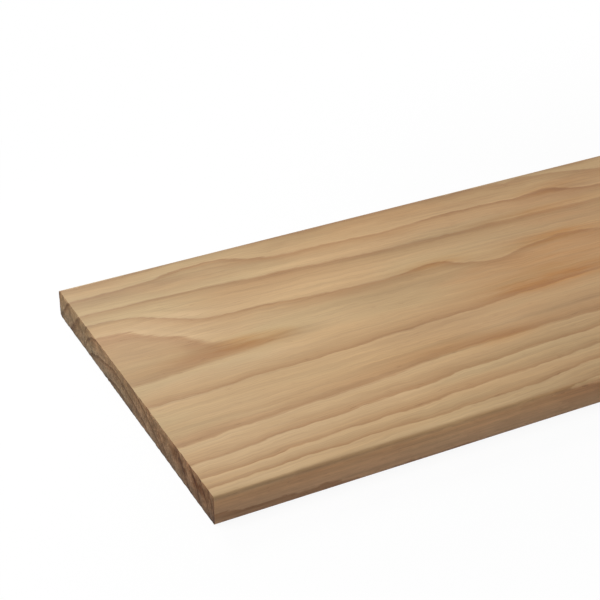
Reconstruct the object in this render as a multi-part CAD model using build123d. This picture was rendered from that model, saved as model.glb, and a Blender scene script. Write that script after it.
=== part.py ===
from build123d import *
import os

# A clear pine board, planed on four sides and cut square at both ends. One piece of sawn timber.
# X runs along the grain, Y across the face and Z through the thickness. Sizes are in millimetres.
# The origin is at the middle of the face that the board lies on.

INCH = 25.4

# Dressed size of a nominal 1 x 10 board, in a stock length of 4 ft
BOARD_LENGTH = 48 * INCH
BOARD_WIDTH = 9.25 * INCH
BOARD_THICKNESS = 0.75 * INCH

# The planer leaves the four long edges eased by about 1/16 inch. The cross-cut ends stay crisp.
ARRIS_RADIUS = INCH / 16


def planed_section(cut_plane):
    """The section across the grain: a rectangle standing on Z = 0, its four corners eased."""
    with BuildSketch(cut_plane) as section:
        with Locations((0, BOARD_THICKNESS / 2)):
            RectangleRounded(BOARD_WIDTH, BOARD_THICKNESS, ARRIS_RADIUS)
    return section.sketch


def sawn_board():
    """The section run along the grain, from one square saw cut to the other."""
    first_cut = Plane.YZ.offset(-BOARD_LENGTH / 2)
    return extrude(planed_section(first_cut), amount=BOARD_LENGTH)


os.makedirs("parts", exist_ok=True)
board = sawn_board()
board.label = "plank"
export_step(board, "parts/plank.step")
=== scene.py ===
import bmesh
import bpy
import math
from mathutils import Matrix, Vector


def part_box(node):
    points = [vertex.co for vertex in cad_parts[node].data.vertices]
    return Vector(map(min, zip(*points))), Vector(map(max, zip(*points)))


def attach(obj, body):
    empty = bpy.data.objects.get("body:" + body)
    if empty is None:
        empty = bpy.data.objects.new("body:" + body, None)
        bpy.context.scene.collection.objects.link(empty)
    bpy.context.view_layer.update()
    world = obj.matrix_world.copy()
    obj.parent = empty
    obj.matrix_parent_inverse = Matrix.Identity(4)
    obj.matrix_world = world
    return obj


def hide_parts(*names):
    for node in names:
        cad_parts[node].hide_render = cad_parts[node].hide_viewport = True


# A clear pine board, planed on four sides and sawn square across both ends.
# X runs along the grain, Y across the face and Z up through the thickness.
# Places are in metres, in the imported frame. Wood patterns are worked out in millimetres, measured
# along the board from its left saw cut, across it from its near edge, and up from its lower face.

MM = 0.001

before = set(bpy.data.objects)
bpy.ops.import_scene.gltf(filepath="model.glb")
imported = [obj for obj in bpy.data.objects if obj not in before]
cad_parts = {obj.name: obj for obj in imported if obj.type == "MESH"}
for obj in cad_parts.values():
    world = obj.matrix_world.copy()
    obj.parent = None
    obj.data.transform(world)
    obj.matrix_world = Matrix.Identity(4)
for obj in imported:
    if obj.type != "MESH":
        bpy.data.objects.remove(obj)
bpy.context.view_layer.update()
LOW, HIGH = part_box("plank")
MIDDLE = (LOW + HIGH) / 2
LENGTH, WIDTH, THICKNESS = HIGH - LOW

# The planer eases the long edges to this radius
ARRIS = 1.5875 * MM

# Where faces meet at more than this many degrees, as at the saw cuts, the shading stays crisp
CRISP_ANGLE = 40

# The board's mesh: cells across the face, through the thickness and round each eased edge
FACE_CELLS = 240
EDGE_CELLS = 18
ARRIS_CELLS = 4

# Slices along the grain: thin ones beside each saw cut, then even ones
SLICES_BY_A_CUT = [0.4 * MM, 0.6 * MM, 0.9 * MM, 1.4 * MM, 2.4 * MM, 4.5 * MM, 8 * MM]
EVEN_SLICES = 96

# The saw's marks reach this far into the wood along the grain, and tear the rims this far down
SAW_REACH = 3 * MM
TEAR_REACH = 2.2 * MM

# Relief, always cut into the wood: its name, the vertex group it keeps to, which way it goes, how
# deep, the size of its lumps along, across and up, and how much of the surface it spares, where 1 is
# half of it. With no group it is the whole skin, and the way NORMAL is square to the surface. A
# relief pushes back against its way, so at the left cut its depth is below 0.
RELIEFS = [("planed skin", None, "NORMAL", 0.07 * MM, (90 * MM, 5 * MM, 5 * MM), 1.0)]
for side, sign in (("left", -1), ("right", 1)):
    RELIEFS += [
        ("saw ridges", side + " cut", "X", sign * 0.13 * MM, (1, 1.3 * MM, 14 * MM), 1.0),
        ("saw fuzz", side + " cut", "X", sign * 0.13 * MM, (1, 1.1 * MM, 1.1 * MM), 1.0),
        ("torn rims", side + " rims", "X", sign * 0.3 * MM, (1, 1.5 * MM, 4 * MM), 1.3),
    ]

# The clouds that the reliefs are made of
CLOUD_DETAIL = 2
CLOUD_CONTRAST = 2.0

# The baked finish is one square sheet with six patches: the long faces one above another, and the
# two ends side by side. Each has its facing axis and side, its columns and its rows, in pixels.
SHEET = 1024
BAKE_PATCHES = [
    (2, 1, (6, 1018), (6, 410)),
    (2, -1, (6, 1018), (416, 820)),
    (1, -1, (6, 1018), (826, 878)),
    (1, 1, (6, 1018), (884, 936)),
    (0, -1, (6, 508), (942, 1018)),
    (0, 1, (516, 1018), (942, 1018)),
]


# Mesh helpers

def pick(board, wanted, kind="faces"):
    """Selects, in edit mode, just the faces or edges that wanted says yes to."""
    bpy.ops.mesh.select_all(action="DESELECT")
    bpy.ops.mesh.select_mode(type="FACE" if kind == "faces" else "EDGE")
    mesh = bmesh.from_edit_mesh(board.data)
    for part in getattr(mesh, kind):
        if wanted(part):
            part.select_set(True)
    bmesh.update_edit_mesh(board.data)


def cut_across(axis, place):
    """Cuts the whole mesh with a plane square to one axis."""
    square_to = Vector((0, 0, 0))
    square_to[axis] = 1
    bpy.ops.mesh.select_all(action="SELECT")
    bpy.ops.mesh.bisect(plane_co=square_to * place, plane_no=square_to)


def divide(board, axis, cells):
    """Divides the longest edges that lie along one axis into equal cells."""
    size = HIGH[axis] - LOW[axis]
    straightness = 0.99

    def lies_along(edge):
        run = edge.verts[1].co - edge.verts[0].co
        return abs(run[axis]) > size / 2 and abs(run[axis]) > straightness * run.length

    pick(board, lies_along, "edges")
    bpy.ops.mesh.subdivide(number_cuts=cells - 1)


# The board

def section_across_the_grain():
    """A sheet at the left saw cut, with its four corners eased and then cut into a grid."""
    bpy.ops.object.select_all(action="DESELECT")
    bpy.ops.mesh.primitive_plane_add(
        size=1, location=(LOW.x, MIDDLE.y, MIDDLE.z), rotation=(0, math.radians(90), 0))
    board = bpy.context.object
    board.name = "pine_board"
    bpy.ops.object.transform_apply(location=True, rotation=True, scale=True)
    bpy.ops.object.mode_set(mode="EDIT")
    bpy.ops.transform.resize(value=(1, WIDTH, THICKNESS), center_override=(LOW.x, MIDDLE.y, MIDDLE.z))
    bpy.ops.mesh.bevel(offset=ARRIS, segments=ARRIS_CELLS, affect="VERTICES", profile=0.5)
    round_steps = [ARRIS * (1 - math.cos(math.radians(90) * step / ARRIS_CELLS))
                   for step in range(1, ARRIS_CELLS + 1)]
    for axis in (1, 2):
        for step in round_steps:
            cut_across(axis, LOW[axis] + step)
            cut_across(axis, HIGH[axis] - step)
    divide(board, 1, FACE_CELLS)
    divide(board, 2, EDGE_CELLS)
    return board


def run_along_the_grain(board):
    """Pulls the section out slice by slice, from the left saw cut to the right one."""
    ends = sum(SLICES_BY_A_CUT)
    even = [(LENGTH - 2 * ends) / EVEN_SLICES] * EVEN_SLICES
    bpy.ops.mesh.select_all(action="SELECT")
    for slice_length in SLICES_BY_A_CUT + even + SLICES_BY_A_CUT[::-1]:
        bpy.ops.mesh.extrude_region_move(TRANSFORM_OT_translate={"value": (slice_length, 0, 0)})
    bpy.ops.mesh.select_all(action="SELECT")
    bpy.ops.mesh.normals_make_consistent(inside=False)


def lay_out_bake_map(board):
    """Flattens each side of the board onto its patch of the baked sheet."""
    mesh = board.data
    layer = mesh.uv_layers.new(name="OFBake")
    for face in mesh.polygons:
        facing = max(range(3), key=lambda axis: abs(face.normal[axis]))
        side = 1 if face.normal[facing] > 0 else -1
        columns, rows = next(patch[2:] for patch in BAKE_PATCHES if patch[:2] == (facing, side))
        across_sheet, up_sheet = [axis for axis in range(3) if axis != facing]
        for corner in face.loop_indices:
            place = mesh.vertices[mesh.loops[corner].vertex_index].co
            shares = [(place[axis] - LOW[axis]) / (HIGH[axis] - LOW[axis])
                      for axis in (across_sheet, up_sheet)]
            layer.data[corner].uv = [(start + share * (stop - start)) / SHEET
                                     for share, (start, stop) in zip(shares, (columns, rows))]


def mark_the_cuts(board):
    """Vertex groups for each saw cut and its upper and lower rims, fading out along the grain."""
    for side, cut in (("left", LOW.x), ("right", HIGH.x)):
        whole = board.vertex_groups.new(name=side + " cut")
        rims = board.vertex_groups.new(name=side + " rims")
        for corner in board.data.vertices:
            near_cut = 1 - abs(corner.co.x - cut) / SAW_REACH
            if near_cut <= 0:
                continue
            to_a_face = min(corner.co.z - LOW.z, HIGH.z - corner.co.z)
            whole.add([corner.index], near_cut, "REPLACE")
            rims.add([corner.index], near_cut * max(0, 1 - to_a_face / TEAR_REACH) ** 2, "REPLACE")


def carve_relief(board):
    """Displaces the board inwards with each of the reliefs, and applies them."""
    for name, group, way, depth, lump, spared in RELIEFS:
        ruler = bpy.data.objects.new("ruler", None)
        bpy.context.scene.collection.objects.link(ruler)
        ruler.scale = lump
        bpy.context.view_layer.update()
        clouds = bpy.data.textures.new(name, "CLOUDS")
        clouds.noise_scale = 1
        clouds.noise_depth = CLOUD_DETAIL
        clouds.contrast = CLOUD_CONTRAST
        clouds.intensity = spared
        clouds.use_clamp = True
        relief = board.modifiers.new(name, "DISPLACE")
        relief.texture = clouds
        relief.texture_coords = "OBJECT"
        relief.texture_coords_object = ruler
        relief.vertex_group = group or ""
        relief.direction = way
        relief.mid_level = 1
        relief.strength = depth
        bpy.ops.object.modifier_apply(modifier=relief.name)
        bpy.data.objects.remove(ruler)
        bpy.data.textures.remove(clouds)


def is_sawn(face):
    """Says whether a face is part of a saw cut: it then looks along the grain."""
    return abs(face.normal.x) > 0.5


def make_board(planed, sawn):
    """The whole board, planed wood all over and sawn end grain on its two ends."""
    board = section_across_the_grain()
    run_along_the_grain(board)
    board.data.materials.append(planed)
    board.data.materials.append(sawn)
    pick(board, is_sawn)
    board.active_material_index = 1
    bpy.ops.object.material_slot_assign()
    bpy.ops.object.mode_set(mode="OBJECT")
    bpy.ops.object.shade_smooth_by_angle(angle=math.radians(CRISP_ANGLE))
    lay_out_bake_map(board)
    mark_the_cuts(board)
    carve_relief(board)
    board.vertex_groups.clear()
    return board


# Node helpers

class Bench:
    """A node tree, with short ways to lay a step down and join it to the ones before."""

    def __init__(self, tree):
        self.tree = tree
        tree.nodes.clear()

    def feed(self, socket, value):
        """Joins a socket to another one, or sets it to a plain value."""
        if isinstance(value, bpy.types.NodeSocket):
            self.tree.links.new(value, socket)
        else:
            socket.default_value = value

    def add(self, kind, inputs=None, **settings):
        node = self.tree.nodes.new(kind)
        for name, value in settings.items():
            setattr(node, name, value)
        for socket, value in (inputs or {}).items():
            self.feed(node.inputs[socket], value)
        return node

    def maths(self, operation, *values):
        node = self.add("ShaderNodeMath", operation=operation)
        for socket, value in zip(node.inputs, values):
            self.feed(socket, value)
        return node.outputs[0]

    def plus(self, *values):
        total = values[0]
        for value in values[1:]:
            total = self.maths("ADD", total, value)
        return total

    def times(self, *values):
        total = values[0]
        for value in values[1:]:
            total = self.maths("MULTIPLY", total, value)
        return total

    def square(self, value):
        return self.maths("MULTIPLY", value, value)

    def between(self, value, low, high, at_low=0.0, at_high=1.0, smooth=False):
        """Runs from at_low to at_high as value goes from low to high, and stays there beyond."""
        node = self.add("ShaderNodeMapRange", interpolation_type="SMOOTHSTEP" if smooth else "LINEAR")
        for socket, number in zip(node.inputs, (value, low, high, at_low, at_high)):
            self.feed(socket, number)
        return node.outputs[0]

    def lumps(self, place, sizes, detail=2.0, roughness=0.5):
        """Cloudy noise from 0 to 1, in lumps of about these sizes along the place's three measures."""
        x, y, z = (value if size == 1 else self.times(value, 1 / size)
                   for value, size in zip(place, sizes))
        vector = self.add("ShaderNodeCombineXYZ", {"X": x, "Y": y, "Z": z}).outputs[0]
        return self.add("ShaderNodeTexNoise", {
            "Vector": vector, "Scale": 1.0, "Detail": detail, "Roughness": roughness,
        }).outputs["Fac"]

    def curve(self, value, points, handles="AUTO"):
        """Follows a line drawn through a few points, from the first of them to the last."""
        first, last = points[0][0], points[-1][0]
        most = max(height for _, height in points)
        node = self.add("ShaderNodeFloatCurve", {"Value": self.between(value, first, last)})
        line = node.mapping.curves[0]
        for _ in points[2:]:
            line.points.new(0.5, 0.5)
        for point, (along, height) in zip(line.points, points):
            point.location = ((along - first) / (last - first), height / most)
        for point in line.points:
            point.handle_type = handles
        node.mapping.update()
        return self.times(node.outputs[0], most)

    def blend(self, share, first, second, how="MIX"):
        """Mixes the second colour into the first by a share from 0 to 1."""
        node = self.add("ShaderNodeMix", data_type="RGBA", blend_type=how)
        for name, value in (("Factor", share), ("A", first), ("B", second)):
            wanted = "VALUE" if name == "Factor" else "RGBA"
            socket = next(s for s in node.inputs if s.name == name and s.type == wanted)
            self.feed(socket, value)
        return next(s for s in node.outputs if s.type == "RGBA")


# The tree that the board was sawn from, in millimetres

# The pith lies under the face, and sinks away from it along the board
PITH_ACROSS = 124.0
PITH_BELOW_FACE = [(-10, 84.9), (40, 85.19), (80, 85.33), (125, 85.42), (190, 86.1), (280, 87.0),
                   (400, 88.5), (600, 91.7), (900, 101), (1230, 113)]

# How far from the pith each season's growth ended
RING_RADII = [47, 57, 67, 76, 85.4, 91.7, 113, 124.5, 135, 143, 154.5, 163, 172, 181, 190, 200]

# The log tapers, so the rings draw together by this much over this length
TAPER = 1.2
TAPER_LENGTH = 400

# How the rings wander sideways: how long, wide and high the waves are, the noise's detail and
# roughness, and the span that the rings wander over
SLOW_BENDS = ((260, 85, 60), 1.0, 0.5, 40.0)
RIPPLES = ((42, 16, 16), 3.0, 0.55, 6.0)
KINKS = ((13, 9, 9), 2.0, 0.6, 2.4)

# The slow bends set in past the first quarter of the board
BENDS_BEGIN = 330
BENDS_FULL = 800

# A ring ends in fibres, not in a clean line: how long, wide and high they are, and how far apart the
# first and the last of them can end. Above the pith, where the rings lie flat, it is a share of that.
FIBRE_ENDS = (38, 1.1, 1.1)
FEATHER = 1.6
FLAT_SHARE = 0.1
FLAT_WITHIN = 40

# Places where the rings swell or shrink a little: along, across, reach along, reach towards the
# near edge, reach towards the far edge, change of radius
SWIRLS = [
    (5, 187, 62, 36, 7.5, -14.5),
    (15, 140, 30, 16, 16, -4),
    (92, 222, 34, 16, 14, -5.0),
    (225, 156, 15, 10, 8, -2.4),
    (268, 146, 20, 14, 12, 3.0),
    (325, 152, 22, 12, 10, -2.0),
    (260, 188, 110, 10, 14, 2.0),
    (20, 32, 62, 34, 26, -2.2),
    (192, 60, 55, 18, 20, 3.0),
    (220, 2, 130, 20, 26, -9.0),
    (350, 214, 24, 16, 12, -4.0),
    (420, 240, 300, 26, 40, -19.5),
    (290, 97, 50, 14, 10, 1.0),
    (285, 203, 50, 12, 12, -4.5),
    (200, 234, 160, 12, 20, -3.0),
    (60, 212, 70, 14, 20, -2.5),
    (108, 157, 34, 9, 9, -1.6),
    (180, 152, 40, 8, 8, -0.9),
    (285, 142, 30, 8, 8, -1.1),
]

# Places with another colour than their rings give them, in the same order, with how strong they are
# last. A stain above 0 is warm and dark, as where resin has gathered, and one below 0 is bleached.
STAINS = [
    (84, 127, 36, 8, 9, 1.2),
    (30, 121, 30, 5, 6, 0.15),
    (26, 164, 34, 18, 12, -0.8),
    (50, 160, 24, 14, 15, -0.4),
    (92, 142, 34, 12, 9, -0.55),
    (55, 72, 42, 9, 8, -0.40),
    (40, 106, 60, 7, 9, -0.30),
    (286, 103, 44, 6, 12, 0.85),
    (300, 128, 75, 24, 22, 0.40),
    (222, 63, 26, 6, 8, 0.50),
    (170, 64, 34, 6, 10, 0.35),
    (226, 155, 22, 6, 7, 0.60),
    (322, 152, 34, 8, 7, 0.75),
    (330, 185, 60, 6, 7, 0.55),
    (350, 208, 26, 7, 8, 0.55),
    (150, 168, 120, 7, 8, -0.30),
    (240, 196, 120, 5, 6, -0.30),
    (35, 52, 60, 14, 12, -0.50),
    (110, 38, 80, 9, 9, -0.60),
    (110, 57, 70, 6, 8, -0.50),
    (50, 145, 16, 12, 12, -0.30),
    (48, 26, 60, 12, 10, -0.60),
    (38, 172, 28, 10, 8, -0.70),
    (60, 107, 48, 7, 7, -0.50),
    (128, 128, 24, 10, 10, -0.50),
    # This bleached row along the near edge is a painted highlight on the eased arris
    (110, 3.2, 170, 2, 3, -0.75),
    (30, 12, 42, 14, 40, -0.45),
    (20, 90, 34, 8, 8, -0.35),
    (82, 111, 24, 8, 8, -0.40),
    (228, 77, 20, 8, 8, -0.60),
]

# Places that are dull and a little darker, in the same order
DULL_PLACES = [
    (45, 213, 70, 7, 5, 0.8),
    (15, 148, 18, 16, 14, 0.5),
    (190, 80, 75, 10, 9, 0.3),
    (285, 76, 32, 3, 3, 0.7),
    (250, 188, 85, 7, 8, 0.7),
    (78, 123, 32, 5, 6, 0.6),
    (114, 123, 22, 5, 5, 0.5),
    (185, 92, 45, 7, 6, 0.75),
    (182, 154, 55, 7, 7, 0.45),
    (275, 216, 42, 8, 6, 0.4),
    (190, 136, 55, 22, 14, 0.5),
    (365, 206, 30, 9, 12, 0.6),
    (20, 224, 160, 12, 8, 0.2),
    # This dull row along the far edge is painted shade on the far arris
    (300, 236, 230, 5, 5, 1.7),
    (215, 8, 100, 7, 10, 0.45),
    (142, 224, 30, 7, 8, 0.45),
    (112, 204, 34, 7, 8, 0.30),
    (2, 190, 16, 8, 8, 0.35),
    (95, 172, 30, 8, 8, 0.30),
    (295, 158, 26, 8, 8, 0.40),
]

# The middle of a browner stretch, in the same order. It is partly the wood's own colour and partly
# painted shade for the light falling off to the right.
BROWN_STRETCH = [(430, 120, 230, 150, 150, 1.0)]


def spot_group():
    """A node group: one soft oval spot, strongest in the middle and gone a little past its reach."""
    group = bpy.data.node_groups.new("soft spot", "ShaderNodeTree")
    names = ("Along", "Across", "Centre along", "Centre across",
             "Reach along", "Reach near", "Reach far", "Strength")
    for name in names:
        group.interface.new_socket(name, in_out="INPUT", socket_type="NodeSocketFloat")
    group.interface.new_socket("Amount", in_out="OUTPUT", socket_type="NodeSocketFloat")
    bench = Bench(group)
    given = bench.add("NodeGroupInput").outputs
    off_along = bench.maths("SUBTRACT", given["Along"], given["Centre along"])
    off_across = bench.maths("SUBTRACT", given["Across"], given["Centre across"])
    is_far = bench.maths("GREATER_THAN", off_across, 0.0)
    wider = bench.maths("SUBTRACT", given["Reach far"], given["Reach near"])
    reach_across = bench.plus(given["Reach near"], bench.times(is_far, wider))
    spread = bench.plus(
        bench.square(bench.maths("DIVIDE", off_along, given["Reach along"])),
        bench.square(bench.maths("DIVIDE", off_across, reach_across)))
    fade = bench.maths("EXPONENT", bench.times(spread, -1.0))
    bench.add("NodeGroupOutput", {"Amount": bench.times(fade, given["Strength"])})
    return group


def sum_of_spots(bench, spot, along, across, spots):
    """Adds up soft spots, each given as a row of numbers."""
    amounts = []
    for numbers in spots:
        node = bench.add("ShaderNodeGroup", node_tree=spot)
        for socket, value in zip(node.inputs, (along, across) + numbers):
            bench.feed(socket, value)
        amounts.append(node.outputs[0])
    return bench.plus(*amounts)


def place_on_the_board(bench):
    """How far a point is along, across and up the board, in millimetres."""
    in_mm = bench.add("ShaderNodeVectorMath", operation="MULTIPLY_ADD")
    bench.feed(in_mm.inputs[0], bench.add("ShaderNodeTexCoord").outputs["Object"])
    in_mm.inputs[1].default_value = (1 / MM,) * 3
    in_mm.inputs[2].default_value = -LOW / MM
    return bench.add("ShaderNodeSeparateXYZ", {"Vector": in_mm.outputs[0]}).outputs


def wander(bench, board_place, waves):
    """How far sideways one kind of waves moves the rings."""
    sizes, detail, roughness, span = waves
    noise = bench.lumps(board_place, sizes, detail, roughness)
    return bench.times(bench.plus(noise, -0.5), span)


def growth_rings():
    """A node group: the place in the log, the season from 0 (spring) to 1 (autumn), the ring's
    number, and how stained, dull and brown the wood is, partly as painted light and shade."""
    spot = spot_group()
    group = bpy.data.node_groups.new("growth rings", "ShaderNodeTree")
    for name in ("Along", "Across", "Up", "Sideways", "Radius", "Angle", "Season", "Ring", "Stain",
                 "Dull", "Brown"):
        group.interface.new_socket(name, in_out="OUTPUT", socket_type="NodeSocketFloat")
    bench = Bench(group)
    board_place = place_on_the_board(bench)
    along, across, up = board_place

    # Sideways and upward are measured from the pith
    bend = bench.times(wander(bench, board_place, SLOW_BENDS),
                       bench.between(along, BENDS_BEGIN, BENDS_FULL, smooth=True))
    ripple = wander(bench, board_place, RIPPLES)
    kink = wander(bench, board_place, KINKS)
    taper = bench.between(along, 0, TAPER_LENGTH, 1.0, TAPER)
    sideways = bench.times(bench.plus(across, bend, ripple, kink, -PITH_ACROSS), taper)
    upward = bench.plus(bench.curve(along, PITH_BELOW_FACE), up, -THICKNESS / MM)
    true_radius = bench.maths("SQRT", bench.plus(bench.square(sideways), bench.square(upward)))
    radius = bench.plus(true_radius, sum_of_spots(bench, spot, along, across, SWIRLS))

    # The age counts rings, and its fraction is the season
    fibre_ends = bench.plus(bench.lumps((along, sideways, up), FIBRE_ENDS), -0.5)
    off_pith = bench.maths("ABSOLUTE", sideways)
    steepness = bench.between(off_pith, 0, FLAT_WITHIN, FLAT_SHARE, 1.0)
    feather = bench.times(fibre_ends, FEATHER, steepness)
    count = [(radius_mm, number) for number, radius_mm in enumerate(RING_RADII)]
    age = bench.curve(bench.plus(radius, feather), count, "VECTOR")
    ring = bench.maths("FLOOR", age)
    bench.add("NodeGroupOutput", {
        "Along": along, "Across": across, "Up": up, "Sideways": sideways, "Radius": radius,
        "Angle": bench.maths("ARCTAN2", sideways, upward),
        "Season": bench.maths("SUBTRACT", age, ring), "Ring": ring,
        "Stain": sum_of_spots(bench, spot, along, across, STAINS),
        "Dull": sum_of_spots(bench, spot, along, across, DULL_PLACES),
        "Brown": sum_of_spots(bench, spot, along, across, BROWN_STRETCH),
    })
    return group


# Finishes

# The wood's own colours: the pale start of a ring, its darker part, the thin line that closes it,
# and the resin in the ducts
SPRING_WOOD = (0.515, 0.358, 0.190, 1)
AUTUMN_WOOD = (0.388, 0.234, 0.108, 1)
LATE_LINE = (0.320, 0.175, 0.074, 1)
RESIN = (0.20, 0.095, 0.035, 1)

# Tints, which multiply the wood's colour. In drifts it is warm or straw-coloured, and in places it
# is stained, bleached, dull or browner; a few of those places are painted light or shade.
RED_TINT = (1.02, 0.975, 0.94, 1)
STRAW_TINT = (0.985, 1.0, 0.985, 1)
STAINED = (0.92, 0.74, 0.52, 1)
BLEACHED = (1.10, 1.13, 1.20, 1)
DULLED = (0.80, 0.775, 0.77, 1)
BROWNER = (0.94, 0.85, 0.83, 1)

# Arrises are a little darker, the narrow edges are browned by the air, edges and ends carry painted
# light, greyer low down as if lit from the floor and warmer up by the face, and their rims carry
# painted shade
ARRIS_DARKENED = (0.97, 0.96, 0.96, 1)
AIRED = (1.06, 0.94, 0.95, 1)
PAINTED_FLOOR_BOUNCE = (0.95, 1.0, 1.10, 1)
PAINTED_WARM_LIGHT = (1.05, 1.0, 0.93, 1)
PAINTED_SHADE = (0.66, 0.68, 0.74, 1)

# End grain soaks up the light, the saw bruised it, and it goes from redder to greyer across the end
SOAKED = (0.48, 0.455, 0.485, 1)
BRUISED = (0.46, 0.34, 0.25, 1)
REDDENED = (1.02, 0.92, 0.88, 1)
FADED = (0.98, 1.02, 1.03, 1)

# In a ring, which goes from 0 to 1: where autumn wood begins, where it would be full, and where it
# starts to end
AUTUMN_BEGINS = 0.70
AUTUMN_FULL = 0.95
AUTUMN_ENDS = 0.93

# How bold the late lines are on planed faces and on end grain. The faintest ring has half of it.
PLANED_BOLDNESS = 0.7
SAWN_BOLDNESS = 1.0
FAINTEST = 0.5

# Drifts in the wood, in lumps that lie along the grain: how long and how wide in millimetres, the
# noise's detail, the stretch of the noise that counts, and what it stands for at both ends
DRIFTS = {
    "hurry to darken": (120, 20, 2.0, 0.30, 0.70, 1.1, 2.2),
    "bold lines": (60, 12, 2.0, 0.35, 0.65, 0.30, 1.0),
    "redness": (150, 30, 2.0, 0.40, 0.60, 0.0, 1.0),
    "ragged stains": (34, 4.0, 3.0, 0.30, 0.70, 0.55, 1.45),
    "patchy edges": (14, 5, 2.0, 0.30, 0.60, 0.45, 1.0),
    "resin ducts": (9, 0.5, 0.0, 0.74, 0.80, 0.0, 1.0),
}

# How much of the ducts shows in spring wood and in autumn wood
SPRING_DUCTS = 0.25
AUTUMN_DUCTS = 0.8

# Patterns that shade the planed faces, each with its three measures, the size of its lumps in them,
# the noise's detail, and its darkest and palest shade. A number in place of a measure picks a slice.
# False rings lie between the true ones, fibres run with the grain, and layers lie one on another.
PLANED_PATTERNS = {
    "false rings": (("Along", "Radius", 0.0), (300, 2.2, 1), 1.0, 0.955, 1.045),
    "streaks": (("Along", "Sideways", "Up"), (160, 3.0, 3.0), 3.0, 0.95, 1.05),
    "fibres": (("Along", "Sideways", "Up"), (40, 0.7, 0.7), 3.0, 0.92, 1.08),
    "layers": (("Along", 5.0, "Up"), (320, 1, 3.4), 2.0, 0.87, 1.15),
}

# The same for end grain: rays run out from the pith, pores are fine pits, and the saw leaves scores
# that lean a little, and scorches the wood along them
SAWN_PATTERNS = {
    "rays": (("Angle", "Radius", 0.0), (1 / 150, 9, 1), 2.0, 0.94, 1.04),
    "pores": ((0.0, "Across", "Up"), (1, 1 / 2.4, 1 / 2.4), 2.0, 0.90, 1.10),
    "torn fibres": (("Along", "Across", "Up"), (1, 1.6, 1.9), 2.0, 0.80, 1.22),
    "scores": ((0.0, "Slant", "Up"), (1, 1.3, 30), 2.0, 0.88, 1.10),
    "scorch": ((0.0, "Slant", "Up"), (1, 8, 7), 3.0, 0.68, 1.22),
}
SAW_LEAN = 0.14

# How far from a half their noise goes before the shade stays at its darkest or palest
PLANED_SWING = 0.20
SAWN_SWING = 0.18

# How much further autumn wood darkens on end grain
AUTUMN_SOAK = 0.6

# The size of the saw's bruises along, over the leaning scores and up, and where in the noise one
# begins and is full
BRUISE_SIZE = (1, 6, 8)
BRUISE_BEGINS = 0.42
BRUISE_FULL = 0.54

# How the finish changes along, across and up: the measure, from where to where in millimetres, and
# the number that it gives at both ends. The ones named painted are light or shade painted into the
# colour
RAMPS = {
    "painted bounce off the floor": ("Up", 2, 15, 0.0, 1.0),
    "painted highlight under the arris": ("Up", 14, 18, 0.0, 0.22),
    "painted highlight past the cut": ("Along", 50, 110, 0.0, 1.0),
    "painted shade by the cut": ("Along", 0, 90, 0.84, 1.0),
    "painted light further on": ("Along", 120, 250, 1.0, 1.12),
    "browned under the arris": ("Up", 15, 18, 1.0, 0.35),
    "painted shade on the lower rim": ("Up", 0.3, 1.8, 1.0, 0.0),
    "painted shade at the far corner": ("Across", 100, 200, 0.0, 1.0),
    "paler across the end": ("Across", 0, 220, 0.83, 1.18),
    "redder to greyer": ("Across", 20, 160, 0.0, 1.0),
    "painted shade low on the end": ("Up", 4, 9, 0.91, 1.07),
    "painted highlight on the upper rim": ("Up", 17, 18.5, 1.0, 1.22),
    "bruised above this": ("Up", 6, 11, 0.0, 1.0),
    "bruised below this": ("Up", 14, 16.5, 1.0, 0.0),
    "bruised past the corner": ("Across", 4, 20, 0.30, 1.0),
    "bruised near the corner": ("Across", 26, 90, 1.0, 0.18),
    "painted shade by the near corner": ("Across", 3, 14, 1.0, 0.0),
    "painted shade low at the near corner": ("Up", 3, 9, 1.0, 0.0),
}

# How far from an arris the wood is darkened, and how far round it the narrow edges are browned. The
# last bit of the way to a side counts as the side.
DARKENING_REACH = 2.6
AIRED_REACH = 1.3
SIDE_ITSELF = 0.3

# The share of the arris darkening that the rims of a saw cut get
CUT_DARKENING = 0.4

# How each surface feels: its bump in millimetres, its roughness in spring wood and in autumn wood,
# and its gloss
PLANED_SURFACE = {
    "bump": {"autumn": 0.05, "fibres": 0.05, "ducts": -0.04},
    "roughness": (0.58, 0.48),
    "gloss": 0.27,
}
SAWN_SURFACE = {
    "bump": {"autumn": 0.08, "pores": 0.12, "torn fibres": 0.30, "scores": 0.18},
    "roughness": (0.9, 0.8),
    "gloss": 0.15,
}


def new_material(name):
    material = bpy.data.materials.new(name)
    material.use_nodes = True
    return material, Bench(material.node_tree)


def measures_of(bench, rings):
    """What the growth rings give at each point of the wood, by name."""
    outputs = bench.add("ShaderNodeGroup", node_tree=rings).outputs
    return {socket.name: socket for socket in outputs}


def drift(bench, log, name, smooth=False):
    """One of the drifts along the grain."""
    long, wide, detail, low, high, at_low, at_high = DRIFTS[name]
    noise = bench.lumps((log["Along"], log["Sideways"], log["Up"]), (long, wide, wide), detail)
    return bench.between(noise, low, high, at_low, at_high, smooth)


def ramp(bench, log, name, smooth=False):
    """One of the ramps along, across or up the board."""
    measure, start, stop, at_start, at_stop = RAMPS[name]
    return bench.between(log[measure], start, stop, at_start, at_stop, smooth)


def tinted(bench, colour, tint, share):
    """A colour multiplied by a tint, as far as a share from 0 to 1 says."""
    return bench.blend(share, colour, bench.blend(1.0, colour, tint, "MULTIPLY"))


def shaded(bench, colour, shade):
    """A colour made lighter or darker by a number."""
    grey = bench.add("ShaderNodeCombineColor", {"Red": shade, "Green": shade, "Blue": shade})
    return bench.blend(1.0, colour, grey.outputs[0], "MULTIPLY")


def shaded_by_patterns(bench, log, colour, patterns, swing):
    """A colour shaded by each of the patterns in turn, and the patterns by name."""
    made = {}
    for name, (measures, sizes, detail, darkest, palest) in patterns.items():
        place = [log.get(measure, measure) for measure in measures]
        made[name] = bench.lumps(place, sizes, detail)
        shade = bench.between(made[name], 0.5 - swing, 0.5 + swing, darkest, palest)
        colour = shaded(bench, colour, shade)
    return colour, made


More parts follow.
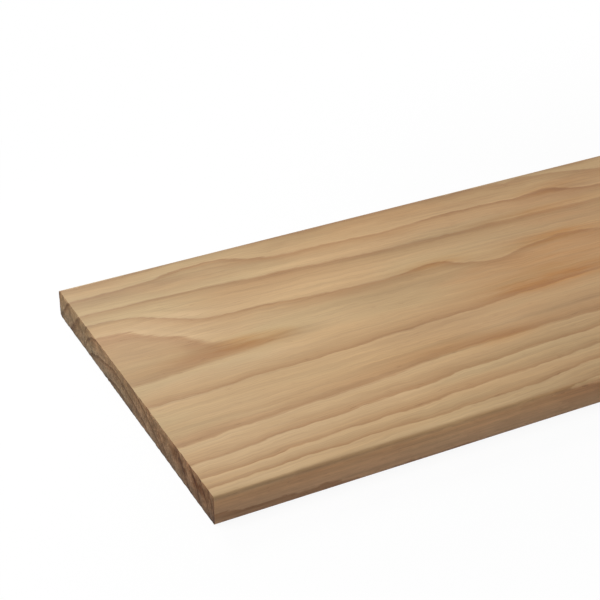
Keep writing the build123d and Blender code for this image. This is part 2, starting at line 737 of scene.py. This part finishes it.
def wood_colour(bench, log, boldness):
    """The rings' colour, and how far it is autumn wood. Boldness is how dark the late line can be."""
    season = log["Season"]
    # Each ring starts pale, and some darken early and some late
    autumn_ends = bench.between(season, AUTUMN_ENDS, 1.0, 1.0, 0.0)
    hurry = drift(bench, log, "hurry to darken")
    turned = bench.times(bench.maths("POWER", season, hurry), autumn_ends)
    colour = bench.blend(turned, SPRING_WOOD, AUTUMN_WOOD)
    autumn = bench.times(bench.between(season, AUTUMN_BEGINS, AUTUMN_FULL, smooth=True), autumn_ends)
    luck = bench.add("ShaderNodeTexWhiteNoise", {"W": log["Ring"]}, noise_dimensions="1D")
    bold = bench.between(luck.outputs["Value"], 0, 1, FAINTEST * boldness, boldness)
    late = bench.times(autumn, drift(bench, log, "bold lines"), bold)
    colour = bench.blend(late, colour, LATE_LINE)

    # Warm and straw-coloured drifts, and then the places that stand out
    redness = drift(bench, log, "redness", smooth=True)
    colour = bench.blend(1.0, colour, bench.blend(redness, STRAW_TINT, RED_TINT), "MULTIPLY")
    ragged = drift(bench, log, "ragged stains")
    stain = bench.times(log["Stain"], ragged)
    bleach = bench.times(stain, -1.0)
    colour = tinted(bench, colour, STAINED, bench.maths("MAXIMUM", stain, 0.0))
    colour = tinted(bench, colour, BLEACHED, bench.maths("MAXIMUM", bleach, 0.0))
    colour = tinted(bench, colour, DULLED, bench.times(log["Dull"], ragged))
    # The browner stretch is partly painted shade for the light falling off to the right
    colour = tinted(bench, colour, BROWNER, log["Brown"])
    return colour, autumn


def near_sides(bench, log, reach):
    """Three numbers that are 1 at the board's ends, narrow edges and broad faces, and 0 a reach in."""
    near = []
    for name, size in (("Along", LENGTH), ("Across", WIDTH), ("Up", THICKNESS)):
        half = size / MM / 2
        off_middle = bench.maths("ABSOLUTE", bench.plus(log[name], -half))
        near.append(bench.between(off_middle, half - reach, half - SIDE_ITSELF))
    return near


def painted_bounce_and_warm_light(bench, log, colour):
    """A colour with painted light: greyer low down, as if lit from the floor, and warmer up by the
    face.
    """
    tint = bench.blend(ramp(bench, log, "painted bounce off the floor"), PAINTED_FLOOR_BOUNCE, PAINTED_WARM_LIGHT)
    return bench.blend(1.0, colour, tint, "MULTIPLY")


def aired_with_painted_light(bench, log, colour):
    """Browned narrow edges; painted shade by the left cut, painted light past it and under the arris.
    """
    on_edge = near_sides(bench, log, AIRED_REACH)[1]
    # A painted highlight under the arris, and painted shade by the left cut turning to painted light
    # further on, for the lamps' falloff along the edge
    painted_arris_highlight = bench.times(ramp(bench, log, "painted highlight under the arris"),
                         ramp(bench, log, "painted highlight past the cut"))
    shade = bench.times(ramp(bench, log, "painted shade by the cut"), ramp(bench, log, "painted light further on"),
                        bench.plus(painted_arris_highlight, 1.0))
    colour = bench.blend(on_edge, colour, shaded(bench, colour, shade))
    browned = painted_bounce_and_warm_light(bench, log, bench.blend(1.0, colour, AIRED, "MULTIPLY"))
    share = bench.times(on_edge, ramp(bench, log, "browned under the arris"))
    return bench.blend(share, colour, browned)


def edges_with_painted_shade(bench, log, colour):
    """Darker arrises, browned edges, and painted shade on the lower rims and the far corners."""
    patches = drift(bench, log, "patchy edges")
    at_end, at_edge, at_face = near_sides(bench, log, DARKENING_REACH)
    by_a_cut = bench.times(at_end, bench.maths("MAXIMUM", at_edge, at_face), CUT_DARKENING)
    darker_arrises = bench.maths("MAXIMUM", bench.times(at_edge, at_face), by_a_cut)
    colour = tinted(bench, colour, ARRIS_DARKENED, bench.times(darker_arrises, patches))
    colour = aired_with_painted_light(bench, log, colour)
    # Painted shade along the lower rims and at the far corners, where shadow falls
    low = bench.times(ramp(bench, log, "painted shade on the lower rim"), bench.maths("MAXIMUM", at_end, at_edge))
    far = bench.times(at_end, at_edge, ramp(bench, log, "painted shade at the far corner"))
    painted_shade = bench.times(bench.maths("MAXIMUM", low, far), patches)
    return tinted(bench, colour, PAINTED_SHADE, painted_shade)


def bruised(bench, log, colour):
    """End grain with the saw's dark bruises below the upper rim, most of them by the near corner,
    and painted shade at that corner's foot."""
    noise = bench.lumps((log["Along"], log["Slant"], log["Up"]), BRUISE_SIZE)
    below_rim = bench.times(ramp(bench, log, "bruised above this", smooth=True),
                            ramp(bench, log, "bruised below this", smooth=True))
    by_corner = bench.times(ramp(bench, log, "bruised past the corner"),
                            ramp(bench, log, "bruised near the corner"))
    share = bench.times(bench.between(noise, BRUISE_BEGINS, BRUISE_FULL), below_rim, by_corner)
    colour = tinted(bench, colour, BRUISED, share)
    # Painted shade at the foot of the near corner
    corner_shade = bench.times(ramp(bench, log, "painted shade by the near corner", smooth=True),
                       ramp(bench, log, "painted shade low at the near corner", smooth=True))
    return tinted(bench, colour, PAINTED_SHADE, corner_shade)


def finish_with(bench, colour, made, surface):
    """Joins a colour up as a surface, with the bump and the roughness of what was made on it."""
    depths = [bench.times(made[name], depth) for name, depth in surface["bump"].items()]
    bump = bench.add("ShaderNodeBump", {
        "Height": bench.times(bench.plus(*depths), MM), "Strength": 1.0, "Distance": 1.0})
    shader = bench.add("ShaderNodeBsdfPrincipled", {
        "Base Color": colour, "Normal": bump.outputs[0],
        "Roughness": bench.between(made["autumn"], 0, 1, *surface["roughness"]),
        "Specular IOR Level": surface["gloss"]})
    bench.add("ShaderNodeOutputMaterial", {"Surface": shader.outputs[0]})


def planed_pine(rings):
    """Planed pine: growth rings, long fibres and short resin ducts, satin from the knives."""
    material, bench = new_material("planed pine")
    log = measures_of(bench, rings)
    colour, autumn = wood_colour(bench, log, PLANED_BOLDNESS)
    colour, made = shaded_by_patterns(bench, log, colour, PLANED_PATTERNS, PLANED_SWING)

    # The ducts are short dark dashes, mostly in autumn wood
    ducts = bench.times(drift(bench, log, "resin ducts"),
                        bench.between(autumn, 0, 1, SPRING_DUCTS, AUTUMN_DUCTS))
    colour = edges_with_painted_shade(bench, log, bench.blend(ducts, colour, RESIN))
    finish_with(bench, colour, {**made, "autumn": autumn, "ducts": ducts}, PLANED_SURFACE)
    return material


def sawn_end_grain(rings):
    """Sawn end grain: the rings cut across, darker where light soaks into the open pores."""
    material, bench = new_material("sawn end grain")
    log = measures_of(bench, rings)
    log["Slant"] = bench.plus(log["Across"], bench.times(log["Up"], SAW_LEAN))
    colour, autumn = wood_colour(bench, log, SAWN_BOLDNESS)
    colour = bench.blend(1.0, colour, SOAKED, "MULTIPLY")
    colour, made = shaded_by_patterns(bench, log, colour, SAWN_PATTERNS, SAWN_SWING)
    colour = shaded(bench, colour, ramp(bench, log, "paler across the end"))
    colour = tinted(bench, colour, SOAKED, bench.times(autumn, AUTUMN_SOAK))

    # Painted shade low on the end, and a painted highlight where the torn fibres of the upper rim
    # catch the light
    colour = shaded(bench, colour, ramp(bench, log, "painted shade low on the end"))
    colour = shaded(bench, colour, ramp(bench, log, "painted highlight on the upper rim"))
    colour = bruised(bench, log, colour)
    hue = bench.blend(ramp(bench, log, "redder to greyer"), REDDENED, FADED)
    colour = bench.blend(1.0, colour, hue, "MULTIPLY")
    colour = edges_with_painted_shade(bench, log, painted_bounce_and_warm_light(bench, log, colour))
    finish_with(bench, colour, {**made, "autumn": autumn}, SAWN_SURFACE)
    return material


# The stage

FLOOR_SIZE = 12
FLOOR_PAINT = (0.9, 0.9, 0.9, 1)
WHITE = (1, 1, 1, 1)

# How far from the board the floor shows its shadow, and how strongly it does beside the board, where
# 1 is in full
SHADOW_REACH = 0.25
SHADOW_SHARE = 0.08

# How strongly the room lights the board, where 1 is white
ROOM_LIGHT = 0.18

# The lamps: name, place, the point it faces, size and power in watts
SOFT_BOXES = [
    ("key", (-0.95, 0.08, 0.8), (-0.62, 0.05, 0), 0.5, 6.5),
    ("sheen", (-0.58, 0.72, 0.55), (-0.62, 0, 0), 0.3, 3.0),
    ("far half", (0.42, 0.0, 0.55), (0.42, 0, 0), 0.6, 1.7),
]


def seen_directly(bench):
    """1 for what the camera sees, itself or in a gloss or through glass, and 0 for light on its way."""
    rays = bench.add("ShaderNodeLightPath").outputs
    seen = bench.maths("MAXIMUM", rays["Is Camera Ray"], rays["Is Glossy Ray"])
    return bench.maths("MAXIMUM", seen, rays["Is Transmission Ray"])


def stage_floor():
    """A white floor that shows the board's shadow faintly."""
    bpy.ops.object.select_all(action="DESELECT")
    bpy.ops.mesh.primitive_plane_add(size=FLOOR_SIZE, location=(0, 0, 0))
    floor = bpy.context.object
    floor.name = "floor"
    material, bench = new_material("white floor")
    paint = bench.add("ShaderNodeBsdfDiffuse", {"Color": FLOOR_PAINT})
    glow = bench.add("ShaderNodeEmission", {"Color": WHITE, "Strength": 1.0})
    spot = bench.add("ShaderNodeTexCoord").outputs["Object"]
    x, y, _ = bench.add("ShaderNodeSeparateXYZ", {"Vector": spot}).outputs
    past_end = bench.maths("MAXIMUM", bench.plus(bench.maths("ABSOLUTE", x), -LENGTH / 2), 0.0)
    past_side = bench.maths("MAXIMUM", bench.plus(bench.maths("ABSOLUTE", y), -WIDTH / 2), 0.0)
    away = bench.maths("SQRT", bench.plus(bench.square(past_end), bench.square(past_side)))
    glow_share = bench.between(away, 0, SHADOW_REACH, 1 - SHADOW_SHARE, 1.0, smooth=True)
    mixed = bench.add("ShaderNodeMixShader", {
        0: bench.times(seen_directly(bench), glow_share), 1: paint.outputs[0], 2: glow.outputs[0]})
    bench.add("ShaderNodeOutputMaterial", {"Surface": mixed.outputs[0]})
    floor.data.materials.append(material)


def soft_room():
    """A pale room: white where it is seen, dim grey where it lights the board."""
    world = bpy.data.worlds.new("soft room")
    bpy.context.scene.world = world
    world.use_nodes = True
    bench = Bench(world.node_tree)
    strength = bench.between(seen_directly(bench), 0, 1, ROOM_LIGHT, 1.0)
    background = bench.add("ShaderNodeBackground", {"Color": WHITE, "Strength": strength})
    bench.add("ShaderNodeOutputWorld", {"Surface": background.outputs[0]})


def soft_box(name, place, aim, size, power):
    """A square lamp with a soft edge, turned to face a point."""
    data = bpy.data.lights.new(name, "AREA")
    data.shape = "SQUARE"
    data.size = size
    data.energy = power
    lamp = bpy.data.objects.new(name, data)
    bpy.context.scene.collection.objects.link(lamp)
    lamp.location = place
    lamp.rotation_euler = (Vector(aim) - Vector(place)).to_track_quat("-Z", "Y").to_euler()


# The camera, found from the board's corners and edges in the photograph. It is turned clockwise from
# the Y axis and tilted down, in degrees.

CAMERA_PLACE = Vector((-0.8902, -0.7682, 0.5778))
CAMERA_TURN = 27.0
CAMERA_TILT = 31.7
LENS_MM = 102.3
SENSOR_MM = 36.0

# The nearest and the farthest that it sees
NEAREST = 0.05
FARTHEST = 50


def set_camera():
    data = bpy.data.cameras.new("camera")
    data.sensor_width = SENSOR_MM
    data.lens = LENS_MM
    data.clip_start = NEAREST
    data.clip_end = FARTHEST
    camera = bpy.data.objects.new("camera", data)
    bpy.context.scene.collection.objects.link(camera)
    camera.location = CAMERA_PLACE
    camera.rotation_euler = (math.radians(90 - CAMERA_TILT), 0, math.radians(-CAMERA_TURN))
    bpy.context.scene.camera = camera


# The scene

rings = growth_rings()
board = make_board(planed_pine(rings), sawn_end_grain(rings))
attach(board, "root")
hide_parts("plank")

stage_floor()
soft_room()
for lamp in SOFT_BOXES:
    soft_box(*lamp)
set_camera()
scene = bpy.context.scene
scene.view_settings.view_transform = "Standard"
